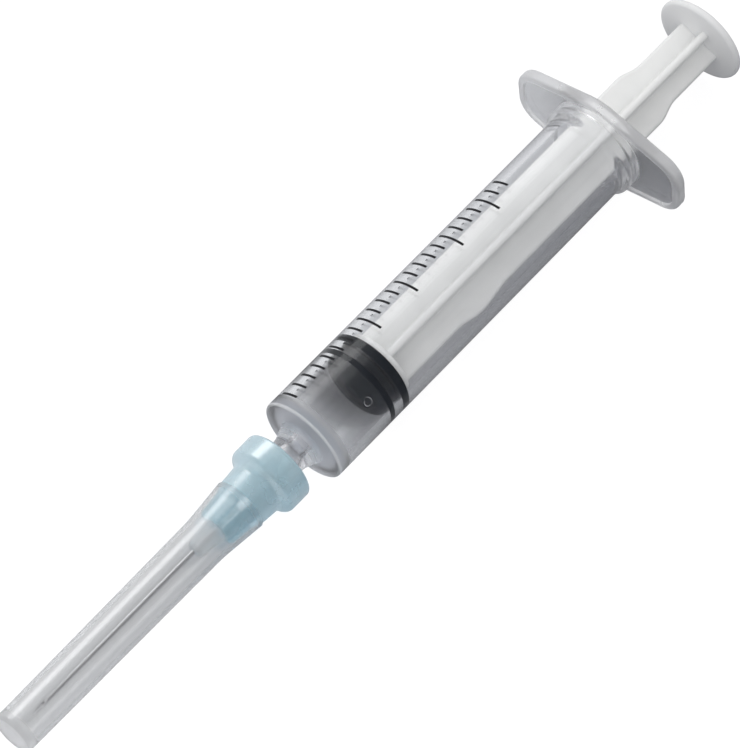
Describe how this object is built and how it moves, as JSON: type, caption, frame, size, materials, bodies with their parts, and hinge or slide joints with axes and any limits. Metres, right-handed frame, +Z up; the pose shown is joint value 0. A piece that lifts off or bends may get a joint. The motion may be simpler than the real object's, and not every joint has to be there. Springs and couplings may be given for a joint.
{
  "type": "disposable slip tip syringe with capped needle",
  "caption": "Clear disposable syringe with black gasket, white plunger rod, finger flange, graduations, and a pull-off needle under a long cap.",
  "frame": {"origin": "under the middle of the whole length, on the surface that the syringe lies on", "axes": "+X along the syringe's axis from the needle cap to the thumb disc, +Y along the finger flange's wings, +Z up"},
  "size_m": [0.1184, 0.0242, 0.0139],
  "materials": {
    "clear_plastic": "clear moulded plastic, glossy",
    "print_ink": "black printed ink",
    "black_rubber": "smooth black rubber",
    "milky_plastic": "milky white moulded plastic",
    "hub_plastic": "tinted translucent blue plastic",
    "glue": "set milky glue",
    "needle_steel": "polished drawn steel tube",
    "cap_plastic": "clear moulded plastic, faintly hazy"
  },
  "bodies": {
    "barrel": {"barrel": "clear_plastic", "graduations": "print_ink"},
    "plunger": {"plunger_rod": "milky_plastic", "gasket": "black_rubber"},
    "needle": {"needle_hub": "hub_plastic", "adhesive": "glue", "cannula": "needle_steel"},
    "cap": {"needle_cap": "cap_plastic"}
  },
  "joints": [
    {"name": "plunger_slide", "type": "slide", "parent": "barrel", "child": "plunger", "axis": [1, 0, 0], "range_m": [-0.0077, 0.038]},
    {"name": "needle_pull", "type": "slide", "parent": "barrel", "child": "needle", "axis": [-1, 0, 0], "range_m": [0, 0.012]},
    {"name": "cap_pull", "type": "slide", "parent": "needle", "child": "cap", "axis": [-1, 0, 0], "range_m": [0, 0.045]}
  ]
}
